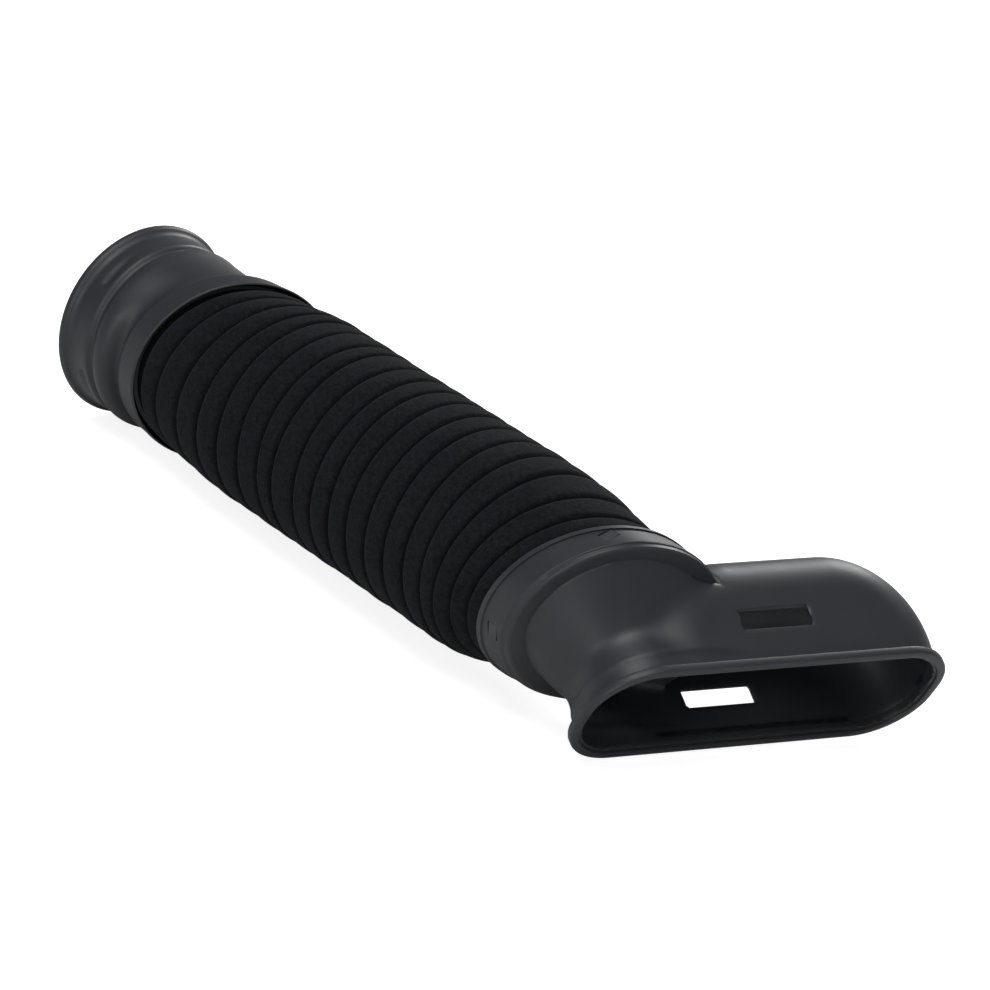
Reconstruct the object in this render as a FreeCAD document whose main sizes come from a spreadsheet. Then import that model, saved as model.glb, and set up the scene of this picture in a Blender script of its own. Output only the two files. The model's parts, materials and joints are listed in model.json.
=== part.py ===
import FreeCAD, Part
import math
import os

import Sketcher

# Air intake hose: a convoluted fleece hose between a round cuff and a flat inlet nozzle.
# While building, +X runs along the hose from the cuff's collar to the nozzle's collar, +Z is up
# and the origin is the middle of the cuff collar's open edge.
# The last step lays every piece down together so that the assembly rests on Z = 0.

doc = FreeCAD.newDocument("air_intake_hose")
Vec = FreeCAD.Vector

# Driving dimensions, in millimetres and degrees
DIMENSIONS = {
    # fleece hose
    "hose_run": 239.4,            # between the two collars' open edges, along the hose
    "hose_swell_run": 45.0,       # length over which the crest radius grows from end to middle
    "hose_bore_radius": 39.0,
    "mid_wall": 5.8,              # from the bore to a crest at mid length
    "end_wall": 3.8,              # from the bore to a crest beside a collar
    "tail_wall": 2.0,             # plain tail inside a collar
    "hose_mid_radius": "=hose_bore_radius + mid_wall",
    "hose_end_radius": "=hose_bore_radius + end_wall",
    "hose_tail_radius": "=hose_bore_radius + tail_wall",
    "groove_depth": 2.4,
    "groove_width": 2.4,
    "convolutions": 19.0,
    "bend_run": 62.0,             # length over which the convolutions lean over to a collar's slant
    # slanted collars and the snap rings in them
    "collar_wall": 2.0,
    "collar_depth": 14.0,
    "shoulder_wall": 2.4,
    "bead_out": 0.7,              # how far the bead at a collar's open edge stands out
    "bead_length": 2.4,
    "cuff_slant_yaw": -18.3,
    "cuff_slant_pitch": -8.4,
    "nozzle_slant_yaw": -20.1,
    "nozzle_slant_pitch": -18.7,
    "fit_gap": 0.3,               # between a snap ring and its neighbours
    "ring_wall": 1.6,
    "ring_length": 8.0,
    "collar_radius": "=hose_tail_radius + ring_wall + 2 * fit_gap + collar_wall",
    "cuff_snaps": 2.0,
    "nozzle_snaps": 4.0,
    "snap_angle": 11.0,           # the first snap stands this far round from the top
    "prong_spread": 9.0,          # half the angle between the two prongs of a snap on the cuff
    "prong_width": 5.0,
    "window_length": 5.4,
    "window_width": 7.5,
    "tab_gap": 0.4,               # round a tab in its window or a prong in its slot
    # round cuff
    "cuff_length": 64.0,          # from the collar's open edge to the rim, on the axis
    "cuff_aside": -4.3,           # how far the cuff's axis lies beside the hose's axis
    "rim_radius": 44.6,
    "rim_length": 3.4,
    "land_radius": 41.7,          # outside of the cylindrical land behind the rim
    "land_start": 6.4,            # from the rim
    "land_length": 12.0,
    "notch_depth": 2.0,           # groove between the land and the taper
    "notch_length": 4.4,
    "barrel_radius": 42.5,        # outside of the taper at its wide end
    "throat_step": 0.8,           # the taper ends this far inside the hose's bore, at the collar
    "throat_radius": "=hose_bore_radius - throat_step",
    "taper_length": 20.0,
    "cuff_wall": 2.2,
    "dent_depth": 0.9,
    "dent_length": 4.0,
    "dent_span": 58.0,            # each dent's arc
    "dent_count": 4.0,
    "dent_angle": 62.0,           # start of the first dent, round from the top
    # flat inlet nozzle
    "mouth_along": 59.2,          # mouth centre from the nozzle collar's edge, along the hose
    "mouth_aside": 45.4,
    "mouth_drop": 26.3,
    "nozzle_yaw": -12.3,
    "nozzle_pitch": 28.3,
    "duct_width": 163.0,
    "duct_height": 55.0,
    "duct_depth": 47.0,
    "duct_round": 21.0,           # rounding of the duct's long edges
    "back_corner": 30.0,          # rounding of the closed back corner, seen from above
    "back_start": 16.0,           # where the duct's back wall starts, right of the collar
    "left_depth": 20.0,           # how far back the duct's left wall runs into the neck
    "nozzle_wall": 2.2,
    "neck_step": 0.4,             # the neck starts this far inside the hose's bore
    "neck_radius": "=hose_bore_radius - neck_step",
    "neck_end": 8.0,              # how far behind the mouth the neck has flattened out
    "neck_end_width": 70.0,
    "neck_end_height": 49.0,
    "neck_end_aside": -43.0,
    "step_drop": 2.6,             # rounded step between the collar and the neck
    "step_radius": "=collar_radius - step_drop",
    "step_length": 4.0,
    "lip_out": 3.4,
    "lip_length": 3.2,
    "slot_length": 33.0,
    "slot_width": 8.5,
    "slot_setback": 24.5,
    "slot_aside": 2.5,
    # how the assembly lies on the floor
    "lean_along": 1.51,           # the floor's normal leans this far towards the nozzle
    "lean_aside": -0.33,          # and this far towards the mouth's closed end
}

sheet = doc.addObject("Spreadsheet::Sheet", "dims")
for row, (alias, value) in enumerate(DIMENSIONS.items(), start=1):
    sheet.set(f"A{row}", alias)
    sheet.set(f"B{row}", str(value))
    sheet.setAlias(f"B{row}", alias)
doc.recompute()


def dim(alias):
    return float(sheet.get(alias))


def heading(yaw, pitch):
    # unit vector turned from +X by yaw about Z, then tipped up by pitch
    y, p = math.radians(yaw), math.radians(pitch)
    return Vec(math.cos(y) * math.cos(p), math.sin(y) * math.cos(p), math.sin(p))


AXIS = Vec(1, 0, 0)
CUFF_EDGE = Vec(0, 0, 0)
NOZZLE_EDGE = AXIS * dim("hose_run")
CUFF_NORMAL = heading(dim("cuff_slant_yaw"), dim("cuff_slant_pitch"))
NOZZLE_NORMAL = heading(dim("nozzle_slant_yaw"), dim("nozzle_slant_pitch"))
POCKET_DEPTH = dim("collar_depth") - dim("shoulder_wall")


def plane_at(point, normal):
    # placement whose local Z is the normal and whose local X stays level
    level = Vec(0, 0, 1).cross(normal).normalize()
    return FreeCAD.Placement(point, FreeCAD.Rotation(level, normal.cross(level), normal, "ZXY"))


def circle(name, radius, placement):
    # radius is an expression on the sheet
    ring = doc.addObject("Part::Circle", name)
    ring.setExpression("Radius", radius)
    ring.Placement = placement
    return ring


def loft(name, sections):
    made = doc.addObject("Part::Loft", name)
    made.Sections = sections
    made.Solid = True
    made.Ruled = True
    return made


def slanted_bar(name, radius, edge, normal, start, end):
    # round bar along the hose whose two ends lie in planes with that normal
    near = circle(name + "_near", radius, plane_at(edge + AXIS * start, normal))
    far = circle(name + "_far", radius, plane_at(edge + AXIS * end, normal))
    return loft(name, [near, far])


def cut(name, base, tool):
    made = doc.addObject("Part::Cut", name)
    made.Base = base
    made.Tool = tool
    return made


def fuse(name, *shapes):
    made = doc.addObject("Part::MultiFuse", name)
    made.Shapes = list(shapes)
    return made


def box(name, placement, length, width, height):
    # sizes are expressions on the sheet
    made = doc.addObject("Part::Box", name)
    made.setExpression("Length", length)
    made.setExpression("Width", width)
    made.setExpression("Height", height)
    made.Placement = placement
    return made


def sheet_value(text):
    # value of an expression on the sheet, in the sheet's own units
    found = sheet.evalExpression(text.replace("dims.", ""))
    return float(found)


XY, XZ, YZ = 3, 4, 5  # places of these planes in a body's origin


def outline(body, name, plane, points):
    # closed sketch of straight lines; each corner is a pair of expressions on the sheet
    sketch = body.newObject("Sketcher::SketchObject", name)
    sketch.AttachmentSupport = [(body.Origin.OriginFeatures[plane], "")]
    sketch.MapMode = "FlatFace"
    spots = [Vec(sheet_value(u), sheet_value(v), 0) for u, v in points]
    for i, spot in enumerate(spots):
        sketch.addGeometry(Part.LineSegment(spot, spots[(i + 1) % len(spots)]), False)
    for i in range(len(spots)):
        sketch.addConstraint(Sketcher.Constraint("Coincident", i, 2, (i + 1) % len(spots), 1))
    for i, (u, v) in enumerate(points):
        for kind, text, at in (("DistanceX", u, spots[i].x), ("DistanceY", v, spots[i].y)):
            index = sketch.addConstraint(Sketcher.Constraint(kind, -1, 1, i, 1, at))
            sketch.setExpression(f"Constraints[{index}]", text)
    return sketch


def edges_where(shape, test):
    return [f"Edge{i}" for i, edge in enumerate(shape.Edges, start=1) if test(edge)]


# Fleece hose: a ruled loft through circles, three to a convolution, so that each band is flat
# with a sharp groove beside it. Towards a collar the circles lean over to the collar's slant.


def ease(part):
    part = max(0.0, min(1.0, part))
    return part * part * (3 - 2 * part)


def hose_plane(x):
    run = dim("bend_run")
    near = 1 - ease(x / run)
    far = 1 - ease((dim("hose_run") - x) / run)
    yaw = dim("cuff_slant_yaw") * near + dim("nozzle_slant_yaw") * far
    pitch = dim("cuff_slant_pitch") * near + dim("nozzle_slant_pitch") * far
    return plane_at(AXIS * x, heading(yaw, pitch))


def crest_at(x):
    # expression for the crest radius, which swells from the ends to the middle
    swell = ease(min(x, dim("hose_run") - x) / dim("hose_swell_run"))
    return f"dims.hose_end_radius + (dims.hose_mid_radius - dims.hose_end_radius) * {swell:.4f}"


def convoluted_outside():
    pitch = dim("hose_run") / dim("convolutions")
    half = dim("groove_width") / 2
    tail = POCKET_DEPTH - dim("fit_gap")
    sections = [circle("cuff_tail_end", "dims.hose_tail_radius", hose_plane(-tail)),
                circle("cuff_tail_edge", "dims.hose_tail_radius", hose_plane(0))]
    for i in range(int(dim("convolutions"))):
        start, end = i * pitch, (i + 1) * pitch
        if i:
            sections.append(circle(f"groove_{i}", crest_at(start) + " - dims.groove_depth", hose_plane(start)))
        sections.append(circle(f"band_start_{i}", crest_at(start + half), hose_plane(start + half)))
        sections.append(circle(f"band_end_{i}", crest_at(end - half), hose_plane(end - half)))
    sections.append(circle("nozzle_tail_edge", "dims.hose_tail_radius", hose_plane(dim("hose_run"))))
    sections.append(circle("nozzle_tail_end", "dims.hose_tail_radius", hose_plane(dim("hose_run") + tail)))
    return loft("hose_outside", sections)


def smooth_bore():
    spans = int(dim("convolutions"))
    first, last = -dim("collar_depth"), dim("hose_run") + dim("collar_depth")
    return loft("hose_bore", [
        circle(f"bore_{i}", "dims.hose_bore_radius", hose_plane(first + (last - first) * i / spans))
        for i in range(spans + 1)
    ])


hose_sleeve = cut("hose_sleeve", convoluted_outside(), smooth_bore())

# Collars: a slanted cup with a bead at its open edge. Towards the pocket is -1 on the cuff, +1 on the nozzle.


def collar_outside(name, edge, normal, inward):
    band = slanted_bar(name + "_band", "dims.collar_radius", edge, normal, 0, inward * dim("collar_depth"))
    bead = slanted_bar(name + "_bead", "dims.collar_radius + dims.bead_out", edge, normal,
                       0, inward * dim("bead_length"))
    return [band, bead]


def collar_pocket(name, edge, normal, inward):
    radius = "dims.collar_radius - dims.collar_wall"
    return slanted_bar(name, radius, edge, normal, -inward * dim("collar_wall"), inward * POCKET_DEPTH)


def snap_turns(count):
    return [dim("snap_angle") + 360.0 * i / int(count) for i in range(int(count))]


def prong_turns():
    spread = dim("prong_spread")
    return [turn + side for turn in snap_turns(dim("cuff_snaps")) for side in (-spread, spread)]


def snap_block(name, edge, normal, turn, start, low, sizes):
    # block along the hose, at a turn from the top, that starts at a height in the collar's slanted plane
    plane = plane_at(edge + AXIS * start, normal)
    angle = math.radians(turn)
    out = plane.Rotation.multVec(Vec(-math.sin(angle), math.cos(angle), 0))
    frame = FreeCAD.Placement(plane.Base + out * low, FreeCAD.Rotation(AXIS, out.cross(AXIS), out, "XZY"))
    aside = FreeCAD.Placement(Vec(0, -sheet_value(sizes[1]) / 2, 0), FreeCAD.Rotation())
    return box(name, frame.multiply(aside), *sizes)


def snap_band(name, edge, normal, start, end):
    outside = slanted_bar(name + "_outside", "dims.collar_radius - dims.collar_wall - dims.fit_gap",
                          edge, normal, start, end)
    inside = slanted_bar(name + "_inside", "dims.hose_tail_radius + dims.fit_gap", edge, normal,
                         start - 1, end + 1)
    return cut(name + "_band", outside, inside)


# Snap ring on the cuff: prongs reach into slots in the collar's shoulder
CUFF_RING_START = -POCKET_DEPTH + dim("fit_gap")
PRONG_LOW = dim("hose_tail_radius") + 2 * dim("fit_gap")
cuff_prongs = [
    snap_block(f"cuff_prong_{i}", CUFF_EDGE, CUFF_NORMAL, turn, -dim("collar_depth") + 0.6, PRONG_LOW,
               ("dims.shoulder_wall + 1", "dims.prong_width - 2 * dims.tab_gap",
                "dims.collar_radius - dims.collar_wall - dims.hose_tail_radius - 4 * dims.fit_gap"))
    for i, turn in enumerate(prong_turns())
]
cuff_ring = fuse(
    "cuff_retaining_ring",
    snap_band("cuff_ring", CUFF_EDGE, CUFF_NORMAL, CUFF_RING_START, CUFF_RING_START + dim("ring_length")),
    *cuff_prongs,
)
cuff_slots = fuse("cuff_slots", *[
    snap_block(f"cuff_slot_{i}", CUFF_EDGE, CUFF_NORMAL, turn, -dim("collar_depth") - 1, PRONG_LOW - dim("tab_gap"),
               ("dims.shoulder_wall + 2", "dims.prong_width",
                "dims.collar_radius - dims.collar_wall / 2 - dims.hose_tail_radius"))
    for i, turn in enumerate(prong_turns())
])

# Snap ring on the nozzle: tabs stand in windows in the collar's band
NOZZLE_RING_START = POCKET_DEPTH - dim("fit_gap") - dim("ring_length")
WINDOW_START = NOZZLE_RING_START + (dim("ring_length") - dim("window_length")) / 2
nozzle_tabs = [
    snap_block(f"nozzle_tab_{i}", NOZZLE_EDGE, NOZZLE_NORMAL, turn, WINDOW_START + dim("tab_gap"), PRONG_LOW,
               ("dims.window_length - 2 * dims.tab_gap", "dims.window_width - 2 * dims.tab_gap",
                "dims.collar_radius - dims.hose_tail_radius - 1"))
    for i, turn in enumerate(snap_turns(dim("nozzle_snaps")))
]
nozzle_ring = fuse(
    "nozzle_retaining_ring",
    snap_band("nozzle_ring", NOZZLE_EDGE, NOZZLE_NORMAL, NOZZLE_RING_START, POCKET_DEPTH - dim("fit_gap")),
    *nozzle_tabs,
)
nozzle_windows = [
    snap_block(f"nozzle_window_{i}", NOZZLE_EDGE, NOZZLE_NORMAL, turn, WINDOW_START, PRONG_LOW,
               ("dims.window_length", "dims.window_width", "dims.collar_radius - dims.hose_tail_radius + 2"))
    for i, turn in enumerate(snap_turns(dim("nozzle_snaps")))
]

# Round cuff: a revolved bell, with dents in its land, that ends in the slanted collar
RIM = "-dims.cuff_length"
LAND_END = RIM + " + dims.land_start + dims.land_length"
TAPER_START = LAND_END + " + dims.notch_length"
TAPER_END = TAPER_START + " + dims.taper_length"
CUFF_AXIS = FreeCAD.Placement(Vec(0, dim("cuff_aside"), 0), FreeCAD.Rotation())


def bell(name, inset, notch, past):
    # solid bell whose skin lies the inset inside the cuff's outside
    body = doc.addObject("PartDesign::Body", name)
    sketch = outline(body, name + "_outline", XZ, [
        (f"{RIM} - {past}", "0 * dims.rim_length"),
        (f"{RIM} - {past}", f"dims.rim_radius - {inset}"),
        (f"{RIM} + dims.rim_length", f"dims.rim_radius - {inset}"),
        (f"{RIM} + dims.land_start", f"dims.land_radius - {inset}"),
        (LAND_END, f"dims.land_radius - {inset}"),
        (f"{LAND_END} + dims.notch_length / 2", f"dims.land_radius - {inset} - {notch}"),
        (TAPER_START, f"dims.barrel_radius - {inset}"),
        (TAPER_END, f"dims.throat_radius - {inset}"),
        ("dims.collar_radius", f"dims.throat_radius - {inset}"),
        ("dims.collar_radius", "0 * dims.rim_length"),
    ])
    turned = body.newObject("PartDesign::Revolution", name + "_turned")
    turned.Profile = sketch
    turned.ReferenceAxis = (sketch, ["H_Axis"])
    turned.Angle = 360
    body.Placement = CUFF_AXIS
    return body


def cuff_dents():
    count = int(dim("dent_count"))
    start = f"{RIM} + dims.land_start + (dims.land_length - dims.dent_length) / 2"
    dents = []
    for i in range(count):
        body = doc.addObject("PartDesign::Body", f"dent_{i}")
        sketch = outline(body, f"dent_outline_{i}", XZ, [
            (f"{start} + dims.dent_depth", "dims.land_radius - dims.dent_depth"),
            (f"{start} + dims.dent_length - dims.dent_depth", "dims.land_radius - dims.dent_depth"),
            (f"{start} + dims.dent_length", "dims.land_radius + 1"),
            (start, "dims.land_radius + 1"),
        ])
        turned = body.newObject("PartDesign::Revolution", f"dent_turned_{i}")
        turned.Profile = sketch
        turned.ReferenceAxis = (sketch, ["H_Axis"])
        turned.setExpression("Angle", "dims.dent_span")
        turn = dim("dent_angle") + 360.0 * i / count
        body.Placement = CUFF_AXIS.multiply(FreeCAD.Placement(Vec(), FreeCAD.Rotation(AXIS, turn)))
        dents.append(body)
    return dents


beyond_shoulder = slanted_bar("beyond_shoulder", "2 * dims.collar_radius", CUFF_EDGE, CUFF_NORMAL,
                              -POCKET_DEPTH - dim("shoulder_wall") / 2, 2 * dim("collar_radius"))
bell_stub = cut("bell_stub", bell("bell_skin", "0 * dims.cuff_wall", "dims.notch_depth", "0 * dims.rim_length"),
                beyond_shoulder)
cuff_solid = fuse("cuff_solid", bell_stub, *collar_outside("cuff_collar", CUFF_EDGE, CUFF_NORMAL, -1))
cuff_voids = fuse(
    "cuff_voids",
    bell("bell_bore", "dims.cuff_wall", "0 * dims.notch_depth", "dims.cuff_wall"),
    collar_pocket("cuff_pocket", CUFF_EDGE, CUFF_NORMAL, -1),
)
cuff_dented = cut("cuff_dented", cuff_solid, fuse("cuff_dents", *cuff_dents()))
cuff_open = cut("cuff_open", cuff_dented, cuff_voids)
round_cuff = cut("round_cuff", cuff_open, cuff_slots)

# Flat inlet nozzle, in its own frame: local X runs out through the mouth, Y along it and Z up through its top
NOZZLE_FRAME = FreeCAD.Placement(
    NOZZLE_EDGE + Vec(dim("mouth_along"), dim("mouth_aside"), -dim("mouth_drop")),
    FreeCAD.Rotation(dim("nozzle_yaw"), dim("nozzle_pitch"), 0),
)
NECK_PLANE = plane_at(NOZZLE_EDGE + AXIS * POCKET_DEPTH, NOZZLE_NORMAL)


def duct(name, inset, past):
    # rounded flat box with one far back corner; its skin lies the inset inside the nozzle's outside
    body = doc.addObject("PartDesign::Body", name)
    left = f"-dims.duct_width / 2 + {inset}"
    right = f"dims.duct_width / 2 - {inset}"
    back = f"-dims.duct_depth + {inset}"
    sketch = outline(body, name + "_plan", XY, [
        (past, left),
        (past, right),
        (back, right),
        (back, f"dims.back_start + {inset}"),
        ("-dims.left_depth", left),
    ])
    pad = body.newObject("PartDesign::Pad", name + "_pad")
    pad.Profile = sketch
    pad.setExpression("Length", f"dims.duct_height - 2 * ({inset})")
    pad.Midplane = True
    doc.recompute()
    far = Vec(sheet_value(back), sheet_value(right), 0)
    corner = body.newObject("PartDesign::Fillet", name + "_back_corner")
    corner.Base = (pad, edges_where(pad.Shape, lambda e: (e.CenterOfMass - far).Length < 0.1))
    corner.setExpression("Radius", f"dims.back_corner - {inset}")
    doc.recompute()
    front = sheet_value(past)
    half = sheet_value(f"dims.duct_height / 2 - {inset}")
    rounding = body.newObject("PartDesign::Fillet", name + "_rounding")
    rounding.Base = (corner, edges_where(
        corner.Shape,
        lambda e: abs(abs(e.CenterOfMass.z) - half) < 0.1 and e.CenterOfMass.x < front - 0.1,
    ))
    rounding.setExpression("Radius", f"dims.duct_round - {inset}")
    body.Placement = NOZZLE_FRAME
    return body


def neck(name, inset):
    # round at the collar and oval where it ends inside the duct
    start = circle(name + "_start", f"dims.neck_radius - {inset}", NECK_PLANE)
    oval = doc.addObject("Part::Ellipse", name + "_end")
    oval.setExpression("MajorRadius", f"dims.neck_end_width / 2 - {inset}")
    oval.setExpression("MinorRadius", f"dims.neck_end_height / 2 - {inset}")
    spot = plane_at(Vec(-dim("neck_end"), dim("neck_end_aside"), 0), AXIS)
    oval.Placement = NOZZLE_FRAME.multiply(spot)
    return loft(name, [start, oval])


def lip_plate():
    body = doc.addObject("PartDesign::Body", "lip_plate")
    wide, high = "dims.duct_width / 2 + dims.lip_out", "dims.duct_height / 2 + dims.lip_out"
    sketch = outline(body, "lip_outline", YZ, [
        (f"-({wide})", f"-({high})"), (wide, f"-({high})"), (wide, high), (f"-({wide})", high),
    ])
    pad = body.newObject("PartDesign::Pad", "lip_pad")
    pad.Profile = sketch
    pad.setExpression("Length", "dims.lip_length")
    pad.Reversed = True
    doc.recompute()
    corners = body.newObject("PartDesign::Fillet", "lip_corners")
    corners.Base = (pad, edges_where(pad.Shape, lambda e: abs(e.tangentAt(e.FirstParameter).x) > 0.9))
    corners.setExpression("Radius", "dims.duct_round + dims.lip_out")
    body.Placement = NOZZLE_FRAME
    return body


none = "0 * dims.nozzle_wall"
nozzle_skin = fuse("nozzle_skin", duct("duct_skin", none, none), neck("neck_skin", none))
step = slanted_bar("collar_step", "dims.step_radius", NOZZLE_EDGE, NOZZLE_NORMAL,
                   POCKET_DEPTH, dim("collar_depth") + dim("step_length"))
nozzle_solid = fuse("nozzle_solid", nozzle_skin, lip_plate(), step,
                    *collar_outside("nozzle_collar", NOZZLE_EDGE, NOZZLE_NORMAL, 1))
wall = "dims.nozzle_wall"
nozzle_voids = fuse(
    "nozzle_voids", duct("duct_bore", wall, wall), neck("neck_bore", wall),
    collar_pocket("nozzle_pocket", NOZZLE_EDGE, NOZZLE_NORMAL, 1),
)
nozzle_open = cut("nozzle_open", nozzle_solid, nozzle_voids)
slot_corner = Vec(-dim("slot_setback") - dim("slot_width") / 2, dim("slot_aside") - dim("slot_length") / 2,
                  -dim("duct_height"))
clip_slots = box("clip_slots", NOZZLE_FRAME.multiply(FreeCAD.Placement(slot_corner, FreeCAD.Rotation())),
                 "dims.slot_width", "dims.slot_length", "2 * dims.duct_height")
inlet_nozzle = cut("inlet_nozzle", nozzle_open, fuse("nozzle_cuts", clip_slots, *nozzle_windows))

PIECES = [hose_sleeve, round_cuff, inlet_nozzle, cuff_ring, nozzle_ring]
doc.recompute()

# Lay the assembly down: turn the floor's normal upright, then centre the overall box over the origin
floor_normal = Vec(math.tan(math.radians(dim("lean_along"))), math.tan(math.radians(dim("lean_aside"))), 1)
upright = FreeCAD.Placement(Vec(), FreeCAD.Rotation(floor_normal, Vec(0, 0, 1)))
for piece in PIECES:
    piece.Placement = upright.multiply(piece.Placement)
extent = FreeCAD.BoundBox()
for piece in PIECES:
    extent.add(piece.Shape.optimalBoundingBox(False, False))
for piece in PIECES:
    piece.Placement.Base -= Vec(extent.Center.x, extent.Center.y, extent.ZMin)
doc.recompute()

for item in doc.Objects:
    if "Invalid" in item.State or "Error" in item.State:
        raise RuntimeError(f"{item.Label} failed: {item.State}")
os.makedirs("parts", exist_ok=True)
for piece in PIECES:
    piece.Label = piece.Name
    if piece.Shape.isNull() or not piece.Shape.isValid():
        raise RuntimeError(f"{piece.Label} has no valid shape")
    piece.Shape.exportStep(f"parts/{piece.Label}.step")
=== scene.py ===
import json
import math

import bmesh
import bpy
import numpy as np
from mathutils import Matrix, Vector


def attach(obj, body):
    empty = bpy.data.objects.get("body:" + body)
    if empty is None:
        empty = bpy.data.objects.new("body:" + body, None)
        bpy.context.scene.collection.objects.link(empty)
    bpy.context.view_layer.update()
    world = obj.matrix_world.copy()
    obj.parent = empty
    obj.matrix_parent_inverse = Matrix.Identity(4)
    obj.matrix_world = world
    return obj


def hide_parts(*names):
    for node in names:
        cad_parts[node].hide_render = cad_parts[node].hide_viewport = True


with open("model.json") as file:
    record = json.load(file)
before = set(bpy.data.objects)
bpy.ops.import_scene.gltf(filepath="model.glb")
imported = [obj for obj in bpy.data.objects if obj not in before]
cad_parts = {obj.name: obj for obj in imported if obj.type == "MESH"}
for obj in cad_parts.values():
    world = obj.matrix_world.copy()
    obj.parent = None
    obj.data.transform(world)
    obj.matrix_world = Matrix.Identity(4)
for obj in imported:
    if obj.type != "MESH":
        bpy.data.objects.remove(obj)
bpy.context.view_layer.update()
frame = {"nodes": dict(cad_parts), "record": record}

# Air intake hose: convoluted fleece between a round cuff and a flat inlet nozzle
# Lengths are millimetres until a mesh or light is made, and metres after that

mm = 0.001
mounts = {m["name"]: m for m in frame["record"]["mounts"]}


def place(mount):
    return np.array(mounts[mount]["pos_m"]) / mm


def direction(mount):
    axis = np.array(mounts[mount]["axis"])
    return axis / np.linalg.norm(axis)


def ease(part):
    # 0 to 1 with a soft start and a soft end
    part = np.clip(part, 0.0, 1.0)
    return part * part * (3 - 2 * part)


# The hose's own frame, found from the cuff's bore
hoseAxis = -direction("cuff_bore")
hoseUp = np.cross(hoseAxis, np.cross([0, 0, 1], hoseAxis))
hoseUp /= np.linalg.norm(hoseUp)
hoseAside = np.cross(hoseUp, hoseAxis)


def heading(yaw, pitch):
    # unit vector turned from the hose's axis by yaw about its up, then tipped up by pitch
    y, p = np.radians(yaw), np.radians(pitch)
    return hoseAxis * np.cos(y) * np.cos(p) + hoseAside * np.sin(y) * np.cos(p) + hoseUp * np.sin(p)


def ringAxes(yaw, pitch):
    # level and rise of a ring that is slanted by these angles
    normal = heading(yaw, pitch)
    level = np.cross(hoseUp, normal)
    level /= np.linalg.norm(level)
    return level, np.cross(normal, level)


def ringPoints(centre, axes, radius, angles):
    level, rise = axes
    return centre + np.outer(radius * np.cos(angles), level) + np.outer(radius * np.sin(angles), rise)


sleeve = {
    "boreToEdge": 50.5,      # from the cuff bore's middle to its collar's edge, along the hose
    "boreAside": 4.3,        # from the bore's axis to the hose's axis
    "run": 239.4,            # between the two collars' edges
    "bands": 19,
    "bandJitter": 0.11,      # share of a band that its edges stray by
    "midRadius": 45.5,
    "endRadius": (44.2, 43.2),
    "swellRun": 45.0,
    "boreRadius": 39.0,
    "tailRadius": 41.0,
    "tail": 11.0,            # how far each end reaches into its collar
    "bendRun": 62.0,         # over this run the bands lean to the collar's slant
    "cuffSlant": (-18.3, -8.4),      # yaw and pitch in degrees
    "nozzleSlant": (-20.1, -18.7),
    "grooveDepth": 2.8,
    "grooveHalf": 0.75,      # half the width of the crease between two bands
    "crown": 0.5,            # how far a band's middle stands above its edges
    "tuck": 2.4,             # how far the first skin dips beside a collar
    "tuckRun": 2.6,
    "sway": 0.55,            # how far a crease strays along the hose on its way round
    "swell": 0.35,           # how far a band's skin strays outwards
    "around": 288,
    "perBand": 14,
    "boreRings": 25,
    "seed": 7,
}
cuffEdge = place("cuff_bore") + hoseAxis * sleeve["boreToEdge"] + hoseAside * sleeve["boreAside"]


def bandAxes(x):
    # level and rise of the ring at a distance along the hose
    near = 1 - ease(x / sleeve["bendRun"])
    far = 1 - ease((sleeve["run"] - x) / sleeve["bendRun"])
    yaw = sleeve["cuffSlant"][0] * near + sleeve["nozzleSlant"][0] * far
    pitch = sleeve["cuffSlant"][1] * near + sleeve["nozzleSlant"][1] * far
    return ringAxes(yaw, pitch)


def meshObject(name, verts, faces, smooth=True):
    mesh = bpy.data.meshes.new(name)
    mesh.from_pydata([tuple(v) for v in verts], [], faces)
    mesh.validate()
    mesh.update()
    if smooth:
        mesh.polygons.foreach_set("use_smooth", [True] * len(mesh.polygons))
    made = bpy.data.objects.new(name, mesh)
    bpy.context.scene.collection.objects.link(made)
    return made


def closedTube(rings):
    # quads between rings of points, from the first ring round to the first again
    # they look outwards where the rings run forwards along the outside and back along the inside
    count = len(rings[0])
    faces = []
    for i in range(len(rings)):
        j = (i + 1) % len(rings)
        for k in range(count):
            n = (k + 1) % count
            faces.append((i * count + n, j * count + n, j * count + k, i * count + k))
    return np.concatenate(rings), faces


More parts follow.
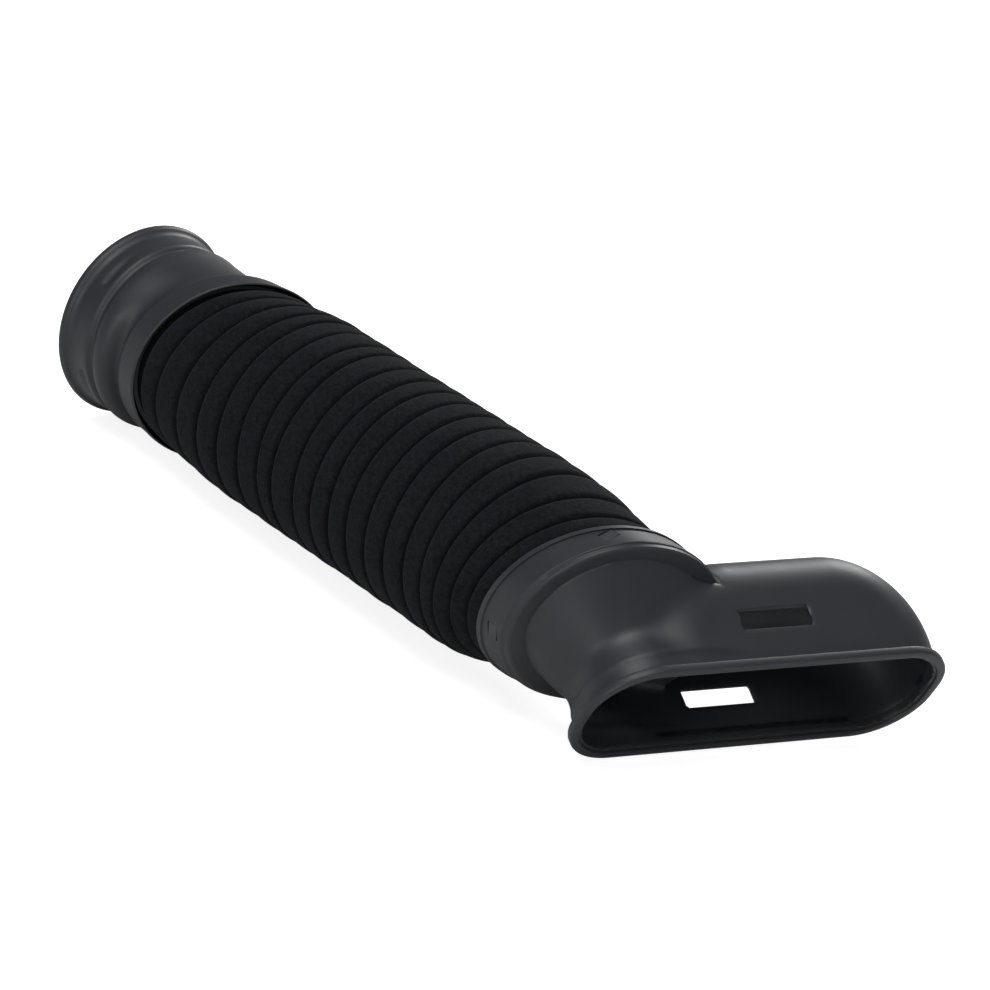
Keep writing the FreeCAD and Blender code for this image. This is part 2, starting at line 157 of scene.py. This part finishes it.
def makeSleeve():
    rng = np.random.default_rng(sleeve["seed"])
    angles = np.arange(sleeve["around"]) / sleeve["around"] * 2 * np.pi
    pitch = sleeve["run"] / sleeve["bands"]
    edges = np.arange(sleeve["bands"] + 1) * pitch
    edges[1:-1] += rng.uniform(-1, 1, sleeve["bands"] - 1) * sleeve["bandJitter"] * pitch
    rings, paintedCreaseShade = [], []

    def wander(size):
        # slow, closed wave round the hose
        turns = np.arange(2, 6)
        phase = rng.uniform(0, 2 * np.pi, 4)
        return size * (np.sin(np.outer(angles, turns) + phase) / turns).sum(axis=1)

    def ring(x, radius, sway=0.0, shade=1.0):
        paintedCreaseShade.extend([shade] * len(angles))
        points = ringPoints(cuffEdge + hoseAxis * x, bandAxes(x), radius, angles)
        rings.append((points + np.outer(np.broadcast_to(sway, angles.shape), hoseAxis)) * mm)

    ring(-sleeve["tail"], sleeve["tailRadius"])
    ring(0.0, sleeve["tailRadius"])
    swayNow = np.zeros_like(angles)
    for i in range(sleeve["bands"]):
        swayNext = wander(sleeve["sway"]) if i < sleeve["bands"] - 1 else np.zeros_like(angles)
        skin = wander(sleeve["swell"])
        for k in range(sleeve["perBand"]):
            t = 0.5 - 0.5 * math.cos(math.pi * (k + 0.5 * (i == 0)) / sleeve["perBand"])
            x = edges[i] + t * (edges[i + 1] - edges[i])
            toEnd, end = min((x, sleeve["endRadius"][0]), (sleeve["run"] - x, sleeve["endRadius"][1]))
            crest = end + (sleeve["midRadius"] - end) * ease(toEnd / sleeve["swellRun"])
            gap = min(t, 1 - t) * (edges[i + 1] - edges[i])
            crease = math.exp(-(gap / sleeve["grooveHalf"]) ** 2)
            tuck = math.exp(-(toEnd / sleeve["tuckRun"]) ** 2)
            drop = max(sleeve["grooveDepth"] * crease, sleeve["tuck"] * tuck)
            drop += sleeve["crown"] * (2 * t - 1) ** 2
            hold = ease(min(x, sleeve["run"] - x) / pitch)     # the ends keep to their collars
            sway = hold * ((1 - t) * swayNow + t * swayNext)
            # the ring's last value is its painted shade: the larger of crease and tuck
            ring(x, crest - drop + hold * skin * 4 * t * (1 - t), sway, max(crease, tuck))
        swayNow = swayNext
    ring(sleeve["run"], sleeve["tailRadius"])
    ring(sleeve["run"] + sleeve["tail"], sleeve["tailRadius"])
    for x in np.linspace(sleeve["run"] + sleeve["tail"], -sleeve["tail"], sleeve["boreRings"]):
        ring(x, sleeve["boreRadius"])
    made = meshObject("fleeceSleeve", *closedTube(rings))
    # the crease attribute carries painted shade: how far each point's colour is darkened, in the creases
    # and beside the collars
    made.data.attributes.new("crease", "FLOAT", "POINT").data.foreach_set("value", paintedCreaseShade)
    return made


fleeceSleeve = makeSleeve()
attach(fleeceSleeve, "root")
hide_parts("hose_sleeve")
print("sleeve made")

cuff = {
    "length": 64.0,
    "bendFrom": 26.0,                # from here on the rings lean over and move to the hose's axis
    "bendTo": 50.0,
    # outside, then inside: distance from the rim and radius
    "outside": (
        (64.0, 45.2), (63.5, 45.8), (62.4, 45.9), (61.4, 45.4), (60.0, 45.2), (53.0, 44.9),     # collar
        (51.0, 44.3), (49.6, 43.3), (48.4, 42.2), (46.4, 41.0), (43.0, 40.3),                   # shoulder
        (38.0, 40.4), (32.0, 41.2), (27.0, 42.1), (24.6, 42.2),                                 # taper
        (22.8, 41.4), (21.2, 40.0), (20.2, 39.7), (19.2, 40.1), (17.8, 41.4),                   # groove
        (16.0, 41.8), (12.0, 41.8), (8.0, 41.8),                                                # land
        (6.4, 42.0), (5.0, 42.8), (3.8, 44.0), (2.6, 44.6), (1.4, 44.6), (0.5, 44.1), (0.0, 43.3)),
    "inside": ((0.2, 42.6), (1.2, 42.4), (3.4, 42.3), (6.0, 39.8), (8.0, 39.5), (17.0, 39.5), (20.2, 37.6),
               (24.0, 39.6), (32.0, 38.4), (43.0, 36.6), (52.3, 36.4), (52.4, 43.2), (64.0, 43.2)),
    # deep end and shallow end of each dent, in degrees round the land
    "dents": ((145, 104), (198, 232), (325, 284), (18, 52)),
    "dentAt": 13.2,
    "dentHalf": 2.0,
    "dentDepth": 1.5,
    "dentFades": (0.12, 0.8),        # share of a dent's length over which its two ends run out
    "pits": (105, 83, 285, 263),     # slots of the retaining ring's prongs, in the shoulder
    "pitAt": 47.6,
    "pitHalf": (3.6, 1.3),           # degrees round the cuff, and millimetres along it
    "pitDepth": 3.0,
    "sharp": 50,                     # degrees from which an edge is shaded as sharp
    "around": 320,
}


def cuffDrop(d, angles):
    # dents that start steeply and fade out, and the small slots in the shoulder
    drop = np.zeros_like(angles)
    start, fade = cuff["dentFades"]
    pitWide, pitLong = cuff["pitHalf"]
    for deep, shallow in cuff["dents"]:
        part = (np.degrees(angles) - deep) / (shallow - deep)
        shape = ease(part / start) * ease((1 - part) / fade) * (part > 0) * (part < 1)
        drop += cuff["dentDepth"] * shape * math.exp(-((d - cuff["dentAt"]) / cuff["dentHalf"]) ** 2)
    for middle in cuff["pits"]:
        drop += (cuff["pitDepth"] * np.exp(-((np.degrees(angles) - middle) / pitWide) ** 6)
                 * math.exp(-((d - cuff["pitAt"]) / pitLong) ** 4))
    return drop


def makeCuff():
    angles = np.arange(cuff["around"]) / cuff["around"] * 2 * np.pi
    rings = []
    for shape, parts, sunk in ((cuff["outside"], 4, 1.0), (cuff["inside"], 1, 0.0)):
        knots = np.array(shape)
        for i in range(len(knots) - 1):
            before, after = knots[max(i - 1, 0)], knots[min(i + 2, len(knots) - 1)]
            for k in range(parts):
                t = k / parts
                smooth = ((knots[i + 1] - before) * (t - 2 * t * t + t ** 3)
                          + (after - knots[i]) * (t ** 3 - t * t)) / 2 * (parts > 1)
                blend = ease(t) if parts > 1 else t
                d, r = knots[i] * (1 - blend) + knots[i + 1] * blend + smooth
                bend = ease((d - cuff["bendFrom"]) / (cuff["bendTo"] - cuff["bendFrom"]))
                axes = ringAxes(*[a * bend for a in sleeve["cuffSlant"]])
                centre = cuffEdge + hoseAxis * (d - cuff["length"])
                centre = centre - hoseAside * sleeve["boreAside"] * (1 - bend)
                radius = r - sunk * cuffDrop(d, angles)
                rings.append(ringPoints(centre, axes, radius, angles) * mm)
    verts, faces = closedTube(rings)
    return meshObject("roundCuff", verts, [f[::-1] for f in faces])     # its rings start at the hose


roundCuff = makeCuff()
roundCuff.data.set_sharp_from_angle(angle=math.radians(cuff["sharp"]))
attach(roundCuff, "root")
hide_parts("round_cuff")
print("cuff made")

# The nozzle's own frame: x out of the mouth, y along its width, z through its height
mouthOut = direction("mouth_face")
mouthUp = direction("top_clip_slot")
mouthWide = np.cross(mouthUp, mouthOut)
nozzle = {
    "faceToMiddle": 28.1,            # from the mouth's mount down to its middle
    "shift": (-1.2, 3.4, 0.9),       # from there to the middle that is shown
    "width": 163.0,
    "height": 55.0,
    "depth": 56.5,
    "leftDepth": 26.0,               # how far back the left wall runs before the neck takes over
    "ramp": 0.18,                    # how fast the top rises towards the back
    "edgeRound": 24.0,
    "backCorner": 47.0,
    "leftCorner": 25.0,
    "rightFrom": -60.0,              # where the deep right-hand body starts, along the width
    "leftTo": 30.0,                  # where the shallow left-hand body ends
    "pastMouth": 90.0,               # both run on past the mouth, where the shell is cut
    "mouthCut": 1.0,                 # the shell ends this far behind the lip's face
    "wall": 2.2,
    "planBlend": 6.0,                # how softly the two bodies meet
    "blend": 7.0,                    # how softly the neck runs into the duct
    "collarReach": 17.4,             # from the collar's open edge to the end of its step
    "collarBand": 13.8,              # from that edge to where the step starts
    "bandLap": 0.1,
    "collarRadius": 45.2,
    "collarZone": 50.0,              # nothing further than this from the hose's axis is collar
    "collarLap": 0.6,                # how far the duct's wall runs into the collar beside it
    "collarBlend": 3.0,              # how softly the duct ends there
    "shellBack": 3.0,                # how far the shell runs back inside the collar
    "neckBack": 6.0,
    "neckRadius": 37.4,
    "neckEnd": (-13.0, -45.0, 31.0),     # where the neck has become duct: x, y and half width
    "neckSink": 4.0,                 # how far the neck's end lies below the duct's skin
    "neckFall": 1.8,                 # above 1 its top comes down early
    "neckSquare": 0.5,               # how much squarer than an ellipse it ends
    "neckSlope": 0.6,                # keeps the neck's distances below the true ones
    "lipOut": 3.2,
    "lipLength": 3.8,
    "lipBack": 7.0,
    "lipRound": 0.9,
    "flare": 1.5,
    "slotSpot": (-21.8, 0.8),        # middle of the clip slots: x and y
    "slotSize": (8.5, 33.0),
    "slotRound": 0.8,
    "sharp": 38,
    "around": 192,
    "cornerPoints": 25,
    "cell": 1.1,
    "gridLow": (-62.0, -100.0, -34.0),
    "gridHigh": (3.0, 86.0, 52.0),
}
mouthMiddle = place("mouth_face") - mouthUp * nozzle["faceToMiddle"]
nozzleEdge = cuffEdge + hoseAxis * sleeve["run"]
local = np.array([mouthOut, mouthWide, mouthUp])
nozzleOrigin = mouthMiddle + np.array(nozzle["shift"]) @ local
collarNormal = local @ heading(*sleeve["nozzleSlant"])
collarAlong = local @ hoseAxis
collarEnd = local @ (nozzleEdge - nozzleOrigin) + collarAlong * nozzle["collarReach"]


def dot(a, b):
    return (a * b).sum(axis=-1)


def softMin(a, b, k):
    # the smaller of two distances, rounded off where they are within k
    h = np.maximum(k - np.abs(a - b), 0.0) / k
    return np.minimum(a, b) - h * h * k / 4


def roundBox(x, y, low, high, radius):
    # distance from a rectangle with round corners
    middle, half = (np.array(low) + high) / 2, (np.array(high) - low) / 2 - radius
    qx, qy = np.abs(x - middle[0]) - half[0], np.abs(y - middle[1]) - half[1]
    return np.hypot(np.maximum(qx, 0), np.maximum(qy, 0)) + np.minimum(np.maximum(qx, qy), 0) - radius


def ductBody(p):
    x, y, z = p[..., 0], p[..., 1], p[..., 2]
    half, r = nozzle["width"] / 2, nozzle["edgeRound"]
    far = nozzle["pastMouth"]
    right = roundBox(x, y, (-nozzle["depth"], nozzle["rightFrom"]), (far, half), nozzle["backCorner"])
    left = roundBox(x, y, (-nozzle["leftDepth"], -half), (far, nozzle["leftTo"]), nozzle["leftCorner"])
    plan = softMin(right, left, nozzle["planBlend"])
    rise = nozzle["ramp"] * np.clip(-x, 0.0, nozzle["depth"])
    tall = np.abs(z - rise / 2) - nozzle["height"] / 2 - rise / 2
    qa, qb = plan + r, tall + r
    return np.hypot(np.maximum(qa, 0), np.maximum(qb, 0)) + np.minimum(np.maximum(qa, qb), 0) - r


def neckBody(p):
    # round at the collar, then flattened and lowered into the duct
    endX, endY, endHalf = nozzle["neckEnd"]
    endTop = nozzle["height"] / 2 - nozzle["ramp"] * endX - nozzle["neckSink"]
    endLow = nozzle["neckSink"] - nozzle["height"] / 2
    finish = np.array([endX, endY, (endTop + endLow) / 2])
    turn = np.zeros(p.shape[:-1])
    for _ in range(6):      # closes in on the ring that passes through each point
        normal = collarNormal * (1 - turn[..., None]) + np.array([1.0, 0, 0]) * turn[..., None]
        normal /= np.linalg.norm(normal, axis=-1, keepdims=True)
        spot = collarEnd + (finish - collarEnd) * turn[..., None]
        turn = np.clip(turn + dot(normal, p - spot) / dot(normal, finish - collarEnd), 0.0, 1.0)
    behind = np.minimum(dot(p - collarEnd, collarNormal), 0.0) / collarAlong.dot(collarNormal)
    spot = collarEnd + (finish - collarEnd) * turn[..., None] + collarAlong * behind[..., None]
    fall = 1 - (1 - turn) ** nozzle["neckFall"]
    rise = np.array([0, 0, 1.0]) - normal * normal[..., 2:3]
    rise /= np.linalg.norm(rise, axis=-1, keepdims=True)
    aside = np.cross(rise, normal)
    away = p - spot
    top = nozzle["neckRadius"] * (1 - fall) + (endTop - finish[2]) * fall
    top += (finish - collarEnd)[2] * (fall - turn)
    low = nozzle["neckRadius"] * (1 - turn) + (finish[2] - endLow) * turn
    up = dot(away, rise)
    tall = (top + low) / 2
    wide = nozzle["neckRadius"] * (1 - turn) + endHalf * turn
    power = 2 + nozzle["neckSquare"] * turn
    across = np.abs(dot(away, aside) / wide) ** power
    over = np.abs((up - (top - low) / 2) / tall) ** power
    reach = (across + over) ** (1 / power)
    skin = (reach - 1) * np.minimum(wide, tall) * nozzle["neckSlope"]
    return np.maximum(skin, np.where(turn < 1, -np.inf, away[..., 0]))


def nozzleField(p):
    # below zero inside the nozzle's wall
    behind = dot(p - collarEnd, collarNormal)
    onPlane = p - collarEnd - collarAlong * (behind / collarAlong.dot(collarNormal))[..., None]
    fromAxis = np.linalg.norm(onPlane, axis=-1)
    zone = np.maximum(fromAxis - nozzle["collarRadius"], behind) + nozzle["collarLap"]
    duct = -softMin(-ductBody(p), zone, nozzle["collarBlend"])
    neck = np.maximum(neckBody(p), -behind - nozzle["neckBack"])
    body = softMin(duct, neck, nozzle["blend"])
    shell = np.maximum(np.maximum(body, -body - nozzle["wall"]), p[..., 0] + nozzle["mouthCut"])
    spot, size = np.array(nozzle["slotSpot"]), np.array(nozzle["slotSize"]) / 2
    slot = roundBox(p[..., 0], p[..., 1], spot - size, spot + size, nozzle["slotRound"])
    shell = np.maximum(shell, -slot)
    inCollar = fromAxis < nozzle["collarRadius"]
    return np.maximum(shell, np.where(inCollar, -behind - nozzle["shellBack"], -np.inf))


def surfaceNet(field, low, high, cell):
    # quad mesh where the field passes zero, with one corner in each cell that it crosses
    steps = [np.arange(a, b, cell) for a, b in zip(low, high)]
    grid = np.stack(np.meshgrid(*steps, indexing="ij"), axis=-1)
    value = field(grid)
    inside = value < 0
    size = np.array(value.shape) - 1
    total, count = np.zeros((*size, 3)), np.zeros(size)

    def part(array, corner):
        return array[tuple(slice(c, c + n) for c, n in zip(corner, size))]

    for axis in range(3):
        for a in range(2):
            for b in range(2):
                near = np.insert([a, b], axis, 0)
                far = np.insert([a, b], axis, 1)
                first, last = part(value, near), part(value, far)
                passes = (first < 0) != (last < 0)
                share = np.where(passes, first / np.where(passes, first - last, 1), 0)
                total += passes[..., None] * (near + share[..., None] * (far - near))
                count += passes
    used = count > 0
    number = np.full(size, -1)
    number[used] = np.arange(used.sum())
    verts = (np.argwhere(used) + total[used] / count[used][:, None]) * cell + low
    faces = []
    for axis in range(3):
        b, c = [k for k in range(3) if k != axis]
        first = inside.take(range(inside.shape[axis] - 1), axis)
        last = inside.take(range(1, inside.shape[axis]), axis)
        where = np.argwhere(first != last)
        where = where[(where[:, [b, c]] > 0).all(axis=1) & (where[:, [b, c]] < size[[b, c]]).all(axis=1)]
        quad = []
        for db, dc in ((1, 1), (0, 1), (0, 0), (1, 0)):
            at = where.copy()
            at[:, b] -= db
            at[:, c] -= dc
            quad.append(number[tuple(at.T)])
        quad = np.array(quad).T
        flip = first[tuple(where.T)] == (axis == 1)
        quad[flip] = quad[flip][:, ::-1]
        faces.append(quad)
    probe, most = 0.2, 0.3 * cell
    for _ in range(2):      # two short moves onto the true surface
        here = field(verts)
        rises = [field(verts + step) - field(verts - step) for step in np.eye(3) * probe]
        slope = np.stack(rises, axis=-1) / (2 * probe)
        move = here[:, None] * slope / np.maximum(dot(slope, slope), 0.25)[:, None]
        verts = verts - np.clip(move, -most, most)
    return verts, np.concatenate(faces).tolist()


def toFrame(points):
    return (nozzleOrigin + np.asarray(points) @ local) * mm


def mouthOutline():
    # points round the mouth and their outward normals, in the mouth's plane
    r = nozzle["edgeRound"]
    half = np.array((nozzle["width"] / 2 - r, nozzle["height"] / 2 - r))
    points, normals = [], []
    for k, side in enumerate(((1, 1), (-1, 1), (-1, -1), (1, -1))):
        for angle in np.linspace(0, np.pi / 2, nozzle["cornerPoints"]) + k * np.pi / 2:
            normals.append((np.cos(angle), np.sin(angle)))
            points.append(half * side + r * np.array(normals[-1]))
    return np.array(points), np.array(normals)


def makeLip():
    points, normals = mouthOutline()
    out, length, back, soft = nozzle["lipOut"], nozzle["lipLength"], nozzle["lipBack"], nozzle["lipRound"]
    wall = nozzle["wall"]
    inner = nozzle["flare"] - wall
    profile = [(0.0, -back), (0.05, -length - 1.6), (0.5, -length - 0.5), (1.4, -length),
               (out - soft, -length), (out - 0.25, -length + 0.25), (out, -length + soft),
               (out, -soft), (out - 0.25, -0.25), (out - soft, 0.0),
               (inner + 0.5, 0.0), (inner + 0.15, -0.15), (inner, -0.5), (inner, -2.2),
               (0.3 - wall, -3.6), (-wall, -4.4), (-wall, -back)]
    rings = []
    for aside, x in profile:
        edge = points + normals * aside
        rings.append(toFrame(np.column_stack([np.full(len(edge), x), edge])))
    return closedTube(rings)


def makeStep():
    # the part of the collar past its band, down to the neck
    angles = np.arange(nozzle["around"]) / nozzle["around"] * 2 * np.pi
    axes = ringAxes(*sleeve["nozzleSlant"])
    radius, reach, start = nozzle["collarRadius"], nozzle["collarReach"], nozzle["collarBand"]
    inner = nozzle["neckRadius"] - nozzle["wall"]
    profile = [(radius - 0.05, start), (radius - 0.2, start + 0.5), (radius - 0.7, start + 0.9),
               (radius - 1.0, reach - 1.2), (radius - 1.2, reach - 0.5), (radius - 1.7, reach - 0.1),
               (radius - 2.3, reach), (inner, reach), (inner, start)]
    return closedTube([ringPoints(nozzleEdge + hoseAxis * s, axes, r, angles) * mm for r, s in profile])


def keepCollar():
    # the collar's band with its windows, as modelled, cut off where the step starts
    shape = bmesh.new()
    source = frame["nodes"]["inlet_nozzle"]
    shape.from_mesh(source.data)
    shape.transform(source.matrix_world)
    edge = (nozzleEdge + hoseAxis * (nozzle["collarBand"] + nozzle["bandLap"])) * mm
    bmesh.ops.bisect_plane(shape, geom=shape.verts[:] + shape.edges[:] + shape.faces[:], plane_co=edge,
                           plane_no=heading(*sleeve["nozzleSlant"]), clear_outer=True)
    far = []
    for vert in shape.verts:
        away = np.cross(np.array(vert.co) / mm - nozzleEdge, hoseAxis)
        if np.linalg.norm(away) > nozzle["collarZone"]:
            far.append(vert)
    bmesh.ops.delete(shape, geom=far, context="VERTS")
    verts = np.array([v.co[:] for v in shape.verts])
    shape.verts.index_update()
    faces = [[v.index for v in f.verts] for f in shape.faces]
    shape.free()
    return verts, faces


def makeNozzle():
    verts, faces = surfaceNet(nozzleField, nozzle["gridLow"], nozzle["gridHigh"], nozzle["cell"])
    body = meshObject("inletNozzle", toFrame(verts), faces)
    shape = bmesh.new()
    shape.from_mesh(body.data)
    for verts, faces in (makeLip(), makeStep(), keepCollar()):
        added = [shape.verts.new(v) for v in verts]
        for face in faces:
            shape.faces.new([added[i] for i in face]).smooth = True
    shape.to_mesh(body.data)
    shape.free()
    body.data.set_sharp_from_angle(angle=math.radians(nozzle["sharp"]))
    return body


inletNozzle = makeNozzle()
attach(inletNozzle, "root")
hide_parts("inlet_nozzle")
print("nozzle made")


def srgb(code):
    channels = [int(code[i:i + 2], 16) / 255 for i in (1, 3, 5)]
    return tuple(c / 12.92 if c <= 0.04045 else ((c + 0.055) / 1.055) ** 2.4 for c in channels) + (1.0,)


def addNode(tree, kind, settings=None, links=None):
    # settings are sockets by name or number, or properties, and links are sockets fed by an output
    node = tree.nodes.new(kind)
    for key, value in (settings or {}).items():
        if isinstance(key, int) or key in node.inputs:
            node.inputs[key].default_value = value
        else:
            setattr(node, key, value)
    for key, source in (links or {}).items():
        tree.links.new(source, node.inputs[key])
    return node


def newMaterial(name):
    material = bpy.data.materials.new(name)
    material.use_nodes = True
    material.node_tree.nodes.clear()
    return material, material.node_tree


def makeFleece(name, look):
    material, tree = newMaterial(name)
    spot = {"Vector": addNode(tree, "ShaderNodeTexCoord").outputs["Object"]}
    fuzz = addNode(tree, "ShaderNodeTexNoise",
                   {"Scale": 1 / (look["fibre"] * mm), "Detail": 4.0, "Roughness": 0.7}, spot)
    tufts = addNode(tree, "ShaderNodeTexNoise",
                    {"Scale": 1 / (look["tuft"] * mm), "Detail": 3.0, "Roughness": 0.6}, spot)
    shade = addNode(tree, "ShaderNodeMix", {"data_type": "FLOAT", 0: 0.35},
                    {2: fuzz.outputs["Fac"], 3: tufts.outputs["Fac"]})
    ramp = addNode(tree, "ShaderNodeValToRGB", links={"Fac": shade.outputs[0]})
    for stop, at, colour in zip(ramp.color_ramp.elements, (0.38, 0.64), (look["dark"], look["light"])):
        stop.position = at
        stop.color = srgb(colour)
    # painted shade: the fibre colour is pulled towards the deep colour where the sleeve's crease attribute
    # is high, in the creases and beside the collars
    crease = addNode(tree, "ShaderNodeAttribute", {"attribute_name": "crease"})
    skin = addNode(tree, "ShaderNodeMix", {"data_type": "RGBA", 7: srgb(look["deep"])},
                   {0: crease.outputs["Fac"], 6: ramp.outputs["Color"]})
    coarse = addNode(tree, "ShaderNodeBump", {"Strength": 0.5, "Distance": look["tuft"] * 0.25 * mm},
                     {"Height": tufts.outputs["Fac"]})
    fine = addNode(tree, "ShaderNodeBump", {"Strength": 0.7, "Distance": look["fibre"] * 0.5 * mm},
                   {"Height": fuzz.outputs["Fac"], "Normal": coarse.outputs["Normal"]})
    shader = addNode(tree, "ShaderNodeBsdfPrincipled",
                     {"Roughness": 0.95, "Specular IOR Level": 0.15, "Sheen Weight": look["sheen"],
                      "Sheen Roughness": 0.45, "Sheen Tint": srgb(look["bloom"])},
                     {"Base Color": skin.outputs[2], "Normal": fine.outputs["Normal"]})
    addNode(tree, "ShaderNodeOutputMaterial", links={"Surface": shader.outputs["BSDF"]})
    return material


def makeMoulding(name, look):
    material, tree = newMaterial(name)
    spot = {"Vector": addNode(tree, "ShaderNodeTexCoord").outputs["Object"]}
    skin = addNode(tree, "ShaderNodeTexNoise",
                   {"Scale": 1 / (look["grain"] * mm), "Detail": 2.0, "Roughness": 0.6}, spot)
    flow = addNode(tree, "ShaderNodeTexNoise",
                   {"Scale": 1 / (look["flow"] * mm), "Detail": 2.0, "Roughness": 0.6}, spot)
    rough = addNode(tree, "ShaderNodeMapRange", {1: 0.3, 2: 0.7, 3: look["rough"][0], 4: look["rough"][1]},
                    {0: flow.outputs["Fac"]})
    bump = addNode(tree, "ShaderNodeBump",
                   {"Strength": look["relief"], "Distance": look["grain"] * 0.2 * mm},
                   {"Height": skin.outputs["Fac"]})
    shader = addNode(tree, "ShaderNodeBsdfPrincipled",
                     {"Base Color": srgb(look["colour"]), "Specular IOR Level": look["gloss"]},
                     {"Roughness": rough.outputs[0], "Normal": bump.outputs["Normal"]})
    addNode(tree, "ShaderNodeOutputMaterial", links={"Surface": shader.outputs["BSDF"]})
    return material


# Needled polyester: soft black with a faint bluish fuzz that takes no highlight, and painted shade in its
# creases
fleece = makeFleece("needledPolyesterFleece", {
    "fibre": 0.45,           # millimetres, coarser than real fibres so that they show
    "tuft": 2.2,
    "dark": "#040405",
    "light": "#202126",
    "deep": "#020202",       # painted shade, down in the creases and beside the collars
    "bloom": "#8f97aa",
    "sheen": 0.08,
})
# Moulded polypropylene: dark neutral grey with a satin skin that spreads its highlights
moulding = makeMoulding("mouldedPolypropylene", {
    "grain": 0.5,            # millimetres across one grain of the mould's skin
    "flow": 18.0,            # millimetres across a patch of more or less gloss
    "colour": "#2a2d32",
    "rough": (0.42, 0.5),
    "relief": 0.25,
    "gloss": 0.5,
})
# Moulded polyamide: a little lighter than the nozzle, seen as a small tab
ringPlastic = makeMoulding("mouldedPolyamide", {
    "grain": 0.4,
    "flow": 9.0,
    "colour": "#36383c",
    "rough": (0.4, 0.5),
    "relief": 0.2,
    "gloss": 0.5,
})


def dress(made, material):
    made.data.materials.clear()
    made.data.materials.append(material)


dress(fleeceSleeve, fleece)
dress(inletNozzle, moulding)
dress(roundCuff, moulding)
for node in ("cuff_retaining_ring", "nozzle_retaining_ring"):
    dress(frame["nodes"][node], ringPlastic)
print("materials made")

studio = {
    "floorSize": 12.0,
    "floorColour": "#e6e6e6",
    "floorLift": 0.83,               # glow where the camera sees the floor, so that only shadows stay grey
    "sky": 0.2,                      # strength of the world for every ray but the camera's
    "aim": (-92.7, 28.0, 0.55),      # from the middle of the nozzle collar's edge, in millimetres
    "distance": 1884.0,
    "right": (0.6273, 0.7579, 0.183),
    "up": (-0.4338, 0.1443, 0.890),
    "lens": 163.6,
    # name, place and target in metres, width in metres, power in watts
    "lights": (("topSoftbox", (0.25, -0.45, 1.5), (0.1, 0.0, 0.0), 1.2, 14),
               ("backStrip", (-0.6, 1.25, 0.75), (0.05, 0.0, 0.06), 0.5, 10),
               ("frontFill", (0.5, -1.4, 0.5), (0.15, 0.0, 0.05), 0.6, 4)),
}


def makeCamera():
    right = Vector(studio["right"]).normalized()
    back = right.cross(Vector(studio["up"])).normalized()
    up = back.cross(right)
    spot = Vector(nozzleEdge + np.array(studio["aim"])) * mm + back * studio["distance"] * mm
    camera = bpy.data.cameras.new("camera")
    camera.lens = studio["lens"]
    camera.sensor_width = 36.0
    camera.clip_end = 100.0
    held = bpy.data.objects.new("camera", camera)
    held.matrix_world = Matrix((right, up, back)).transposed().to_4x4()
    held.location = spot
    bpy.context.scene.collection.objects.link(held)
    bpy.context.scene.camera = held


def areaLight(name, spot, target, size, power):
    light = bpy.data.lights.new(name, "AREA")
    light.shape = "DISK"
    light.size = size
    light.energy = power
    held = bpy.data.objects.new(name, light)
    held.location = spot
    held.rotation_euler = (Vector(target) - Vector(spot)).to_track_quat("-Z", "Y").to_euler()
    bpy.context.scene.collection.objects.link(held)


def makeFloor():
    half = studio["floorSize"] / 2
    floor = meshObject("floor", [(-half, -half, 0), (half, -half, 0), (half, half, 0), (-half, half, 0)],
                       [(0, 1, 2, 3)], smooth=False)
    material, tree = newMaterial("paperFloor")
    rays = addNode(tree, "ShaderNodeLightPath")
    lift = addNode(tree, "ShaderNodeMath", {"operation": "MULTIPLY", 1: studio["floorLift"]},
                   {0: rays.outputs["Is Camera Ray"]})
    paper = addNode(tree, "ShaderNodeBsdfDiffuse", {"Color": srgb(studio["floorColour"])})
    glow = addNode(tree, "ShaderNodeEmission", links={"Strength": lift.outputs[0]})
    both = addNode(tree, "ShaderNodeAddShader",
                   links={0: paper.outputs["BSDF"], 1: glow.outputs["Emission"]})
    addNode(tree, "ShaderNodeOutputMaterial", links={"Surface": both.outputs["Shader"]})
    floor.data.materials.append(material)


def makeWorld():
    world = bpy.data.worlds.new("studio")
    bpy.context.scene.world = world
    world.use_nodes = True
    tree = world.node_tree
    tree.nodes.clear()
    rays = addNode(tree, "ShaderNodeLightPath")
    strength = addNode(tree, "ShaderNodeMapRange", {1: 0.0, 2: 1.0, 3: studio["sky"], 4: 1.0},
                       {0: rays.outputs["Is Camera Ray"]})
    sky = addNode(tree, "ShaderNodeBackground", {"Color": (1, 1, 1, 1)}, {"Strength": strength.outputs[0]})
    addNode(tree, "ShaderNodeOutputWorld", links={"Surface": sky.outputs["Background"]})


makeCamera()
makeFloor()
makeWorld()
for light in studio["lights"]:
    areaLight(*light)
bpy.context.scene.view_settings.view_transform = "Standard"
print("studio made")
